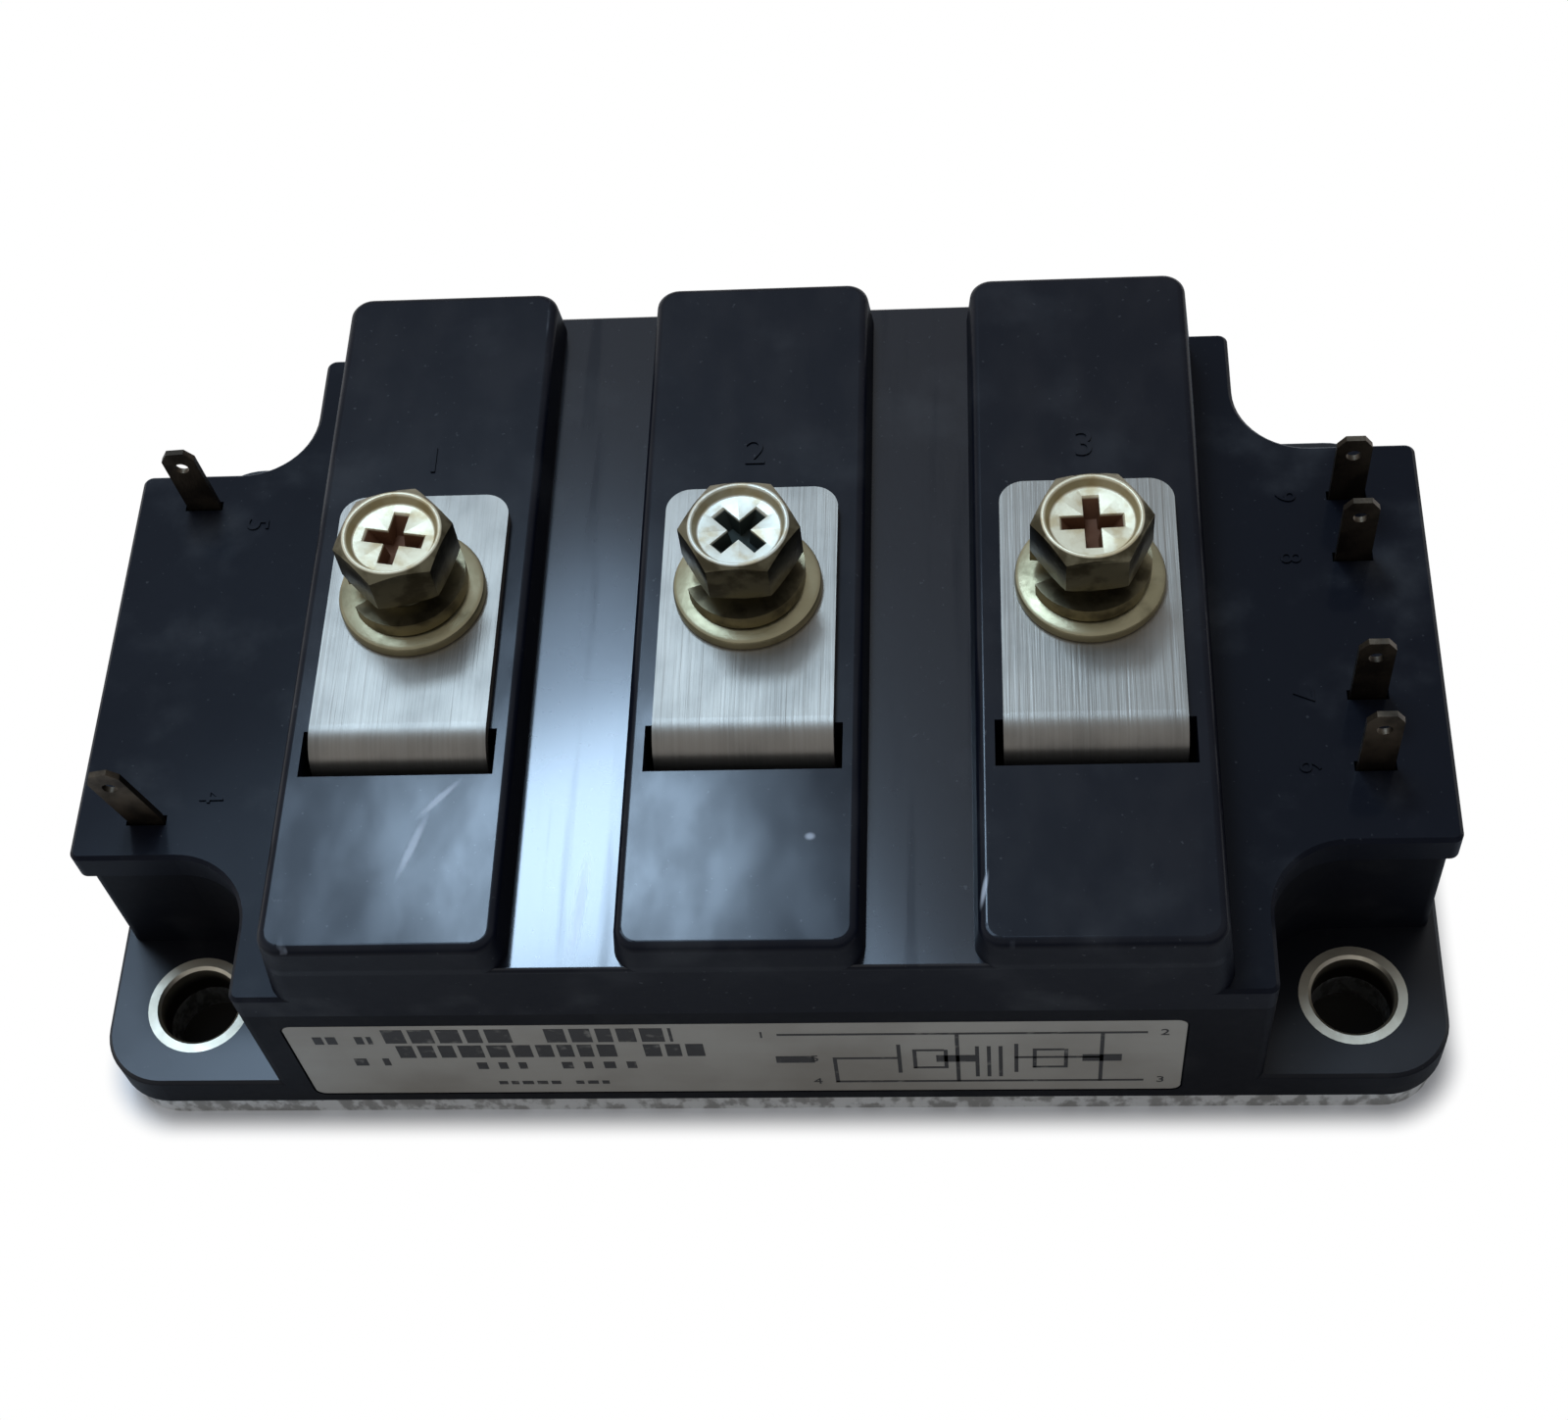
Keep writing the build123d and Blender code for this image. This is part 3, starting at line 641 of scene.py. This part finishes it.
ink = Finish("label_ink", {"Specular IOR Level": 0.3})
worn_ink = ink.noise(900, 4)
ink.feed("Base Color", ink.mix(worn_ink.step(0.55, 0.75), ink_black, ink_rubbed))
ink.feed("Roughness", 0.5 + worn_ink * 0.2)

label_low, label_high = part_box("label")
ink_height = 0.02 * mm
print_marks = []


def bar(left, right, bottom, top):
    """Printed rectangle, given in millimetres from the label's lower left corner."""
    bpy.ops.mesh.primitive_cube_add(size=1)
    mark = bpy.context.object
    size = ((right - left) * mm, ink_height, (top - bottom) * mm)
    middle = (
        label_low.x + (left + right) / 2 * mm, label_low.y - ink_height / 2,
        label_low.z + (bottom + top) / 2 * mm,
    )
    mark.data.transform(Matrix.Translation(middle) @ Matrix.Diagonal((*size, 1)))
    print_marks.append(mark)


def word_row(left, right, bottom, top, letter, gap, seed):
    """Row of small blocks that stands for a line of print."""
    draw = random.Random(seed)
    x = left
    while x < right:
        width = letter * draw.uniform(0.7, 1.15)
        if draw.random() > 0.12:
            bar(x, min(x + width, right), bottom, top)
        x += width + gap


# Each row: left, right, bottom, top, width of a block and gap in millimetres, and seed
word_rows = [
    (2.0, 6.6, 9.4, 10.7, 0.9, 0.3, 3),
    (7.6, 30.0, 9.5, 11.9, 1.7, 0.4, 5),
    (8.2, 32.4, 6.8, 9.0, 1.6, 0.4, 8),
    (4.4, 7.2, 5.4, 6.7, 0.9, 0.3, 2),
    (14.0, 26.6, 4.6, 5.8, 0.9, 0.9, 9),
    (14.2, 24.0, 1.6, 2.2, 0.8, 0.3, 4),
]
for row in word_rows:
    word_row(*row)

# The circuit: rails as left, right and level, and posts as place, bottom and top
line = 0.30
rails = [(38.0, 66.0, 10.4), (42.0, 66.0, 1.6), (42.0, 47.0, 6.0), (56.0, 62.5, 6.0)]
posts = [(42.0, 1.6, 6.0), (47.0, 3.4, 8.6), (51.5, 1.6, 10.4), (56.0, 3.4, 8.6), (62.5, 1.6, 10.4)]
for left, right, level in rails:
    bar(left, right, level, level + line)
for x, bottom, top in posts:
    bar(x, x + line, bottom, top)
# Two open boxes, three thick bars and a group of three thin posts
box_side = 2.4
box_bottom = 4.2
box_top = 7.4
for x in (48.2, 57.4):
    for level in (box_bottom, box_top):
        bar(x, x + box_side, level, level + line)
    bar(x, x + line, box_bottom, box_top)
    bar(x + box_side, x + box_side + line, box_bottom, box_top + 0.2)
for x in (37.6, 50.0, 61.2):
    bar(x, x + 3.0, 5.4, 6.6)
for x in (53.0, 53.9, 54.8):
    bar(x, x + line, 2.6, 8.2)
figure_size = 1.5
figures = [("1", 36.8, 10.5), ("2", 67.3, 10.5), ("3", 67.3, 1.8), ("4", 40.6, 1.8), ("5", 40.6, 6.1)]
face_front = Matrix.Rotation(math.radians(90), 4, "X")
for text, x, z in figures:
    figure = lettering(text, figure_size * mm, ink_height)
    place = Matrix.Translation((label_low.x + x * mm, label_low.y, label_low.z + z * mm))
    figure.data.transform(place @ face_front)
    print_marks.append(figure)
label_print = join("label_print", print_marks)
ink.dress(label_print)
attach(label_print, "root")

# Inner pieces
# Ceramic, copper areas, chips, wires and the two fillings, sealed under the lid.
# They are finished too, for a view of the module with its cover off.


def plain_finish(name, light, dark, roughness, metallic, scale):
    """Quiet finish with a slow change of tone and a fine grain."""
    finish = Finish(name, {"Metallic": metallic})
    tone = finish.noise(scale, 4)
    fine_grain = finish.noise(scale * 9, 3)
    finish.feed("Base Color", finish.mix(tone.step(0.35, 0.7), light, dark))
    finish.feed("Roughness", roughness + fine_grain * 0.15)
    finish.bump(fine_grain, 0.01 * mm)
    return finish


copper = plain_finish("bare_copper", (0.78, 0.42, 0.28), (0.55, 0.27, 0.17), 0.28, 1.0, 180)
copper.dress("copper_pattern_left", "copper_pattern_right", "bridge_link")
alumina = plain_finish("alumina", (0.80, 0.79, 0.75), (0.72, 0.70, 0.66), 0.45, 0.0, 220)
alumina.dress("ceramic_substrate_left", "ceramic_substrate_right")
silicon = plain_finish("silicon", (0.19, 0.20, 0.24), (0.12, 0.13, 0.16), 0.12, 0.6, 300)
silicon.dress("transistor_chip_left", "transistor_chip_right", "diode_chip_left", "diode_chip_right")
aluminium = plain_finish("aluminium_wire", (0.80, 0.80, 0.80), (0.68, 0.68, 0.69), 0.25, 1.0, 500)
aluminium.dress("bond_wires_left", "bond_wires_right")
silicone = plain_finish("silicone", (0.60, 0.61, 0.58), (0.52, 0.53, 0.50), 0.18, 0.0, 60)
silicone.dress("silicone_gel")
epoxy = plain_finish("epoxy", (0.030, 0.030, 0.032), (0.020, 0.020, 0.022), 0.5, 0.0, 90)
epoxy.dress("resin_seal")

# Floor and backdrop
# A plain white sheet, seen as white by the camera and by the metal parts.
# Close to the module it keeps its own shade for the shadow; under the module, painted shade keeps the holes
# dark.

floor_size = 6.0
sheet_white = (0.82, 0.82, 0.82)
hole_painted_shade = (0.02, 0.018, 0.015)
plan_corner = 5.0 * mm

bpy.ops.mesh.primitive_plane_add(size=floor_size, location=(0, 0, 0))
floor = bpy.context.object
floor.name = "floor"
paper = Finish("white_sheet", {"Roughness": 0.9, "Specular IOR Level": 0.1})
half_plan = Vector((cad_high.x - plan_corner, cad_high.y - plan_corner, 0))
folded = paper.node("VectorMath", {"operation": "ABSOLUTE"}, {0: paper.place})
beyond = paper.node("VectorMath", {"operation": "SUBTRACT"}, {0: folded, 1: half_plan})
outside = paper.node("VectorMath", {"operation": "MAXIMUM"}, {0: beyond, 1: (0, 0, 0)})
distance = paper.node("VectorMath", {"operation": "LENGTH"}, {0: outside}, "Value") - plan_corner
# Under the module the sheet is painted dark as shade, so that the holes stay dark.
paper.feed("Base Color", paper.mix(distance.step(-3.5 * mm, -2.5 * mm), hole_painted_shade, sheet_white))
seen_plain = paper.node("LightPath", {}, {}, "Is Camera Ray")
seen_glossy = paper.node("LightPath", {}, {}, "Is Glossy Ray")
seen_through = paper.node("LightPath", {}, {}, "Is Transmission Ray")
seen_in_gloss = (seen_glossy + seen_through).step(0.0, 0.5)
white = seen_plain * distance.step(-0.3 * mm, 2.5 * mm) + seen_in_gloss * distance.step(6.0 * mm, 60.0 * mm)
glow = paper.node("Emission", {}, {"Color": (1, 1, 1, 1), "Strength": 1.0})
bare = Signal(paper, paper.shader.outputs[0])
mixed = paper.node("MixShader", {}, {0: white, 1: bare, 2: glow})
paper.tree.links.new(mixed.socket, paper.tree.nodes["Material Output"].inputs["Surface"])
floor.data.materials.append(paper.material)
floor.select_set(False)

# Light
# A window behind the module, high up and a little to the left, and an even room round it.

lamp_distance = 1.0
window_turn = -22
window_height = 61.5
window_width = 0.15
window_depth = 0.11
window_power = 1.35
window_tint = (0.55, 0.76, 1.0)
sky_turn = -36
sky_height = 67
sky_width = 0.44
sky_depth = 0.40
sky_power = 3.2
sky_tint = (0.50, 0.72, 1.0)
wall_left = (0.62, 0.64, 0.68)
wall_right = (0.16, 0.16, 0.18)
ceiling = (0.40, 0.41, 0.43)


def direction(turn, height_angle):
    """Unit vector at a turn from +Y towards +X and an angle above the floor, in degrees."""
    a, e = math.radians(turn), math.radians(height_angle)
    return Vector((math.sin(a) * math.cos(e), math.cos(a) * math.cos(e), math.sin(e)))


def lamp(name, turn, height_angle, width, depth, power, tint):
    """Rectangular lamp that faces the module."""
    data = bpy.data.lights.new(name, "AREA")
    data.shape = "RECTANGLE"
    data.size = width
    data.size_y = depth
    data.energy = power
    data.color = tint
    made = bpy.data.objects.new(name, data)
    bpy.context.collection.objects.link(made)
    way = direction(turn, height_angle)
    made.location = way * lamp_distance
    made.rotation_euler = way.to_track_quat("Z", "Y").to_euler()
    return made


lamp("window", window_turn, window_height, window_width, window_depth, window_power, window_tint)
lamp("window_sky", sky_turn, sky_height, sky_width, sky_depth, sky_power, sky_tint)

world = bpy.data.worlds.new("room")
bpy.context.scene.world = world
world.use_nodes = True
room = Shading(world.node_tree)
way = room.node("TexCoord", {}, {}, "Generated")
up = room.node("SeparateXYZ", {}, {"Vector": way}, "Z")
right = room.node("SeparateXYZ", {}, {"Vector": way}, "X")
wall = room.mix(right.step(-0.6, 0.5), wall_left, wall_right)
shade = room.mix(up.step(0.10, 0.75), wall, ceiling)
camera_ray = room.node("LightPath", {}, {}, "Is Camera Ray")
background = world.node_tree.nodes["Background"]
seen = room.mix(camera_ray, shade, (1.0, 1.0, 1.0))
world.node_tree.links.new(seen.socket, background.inputs["Color"])
background.inputs["Strength"].default_value = 1.0

# Camera
# It looks down on the label side, a little from the right, and nearly fills the picture.

camera_focal = 2584.0
camera_place = (18.76, -111.54, 190.53)
camera_turns = (32.0, 4.58, 1.64)
picture_width = 1600
sensor = 36.0

camera_data = bpy.data.cameras.new("camera")
camera = bpy.data.objects.new("camera", camera_data)
bpy.context.collection.objects.link(camera)
camera_data.sensor_width = sensor
camera_data.lens = camera_focal / picture_width * sensor
camera_data.clip_start = 0.01
camera_data.clip_end = 20
camera.location = [value * mm for value in camera_place]
camera.rotation_euler = [math.radians(value) for value in camera_turns]
bpy.context.scene.camera = camera
bpy.context.scene.view_settings.view_transform = "Standard"
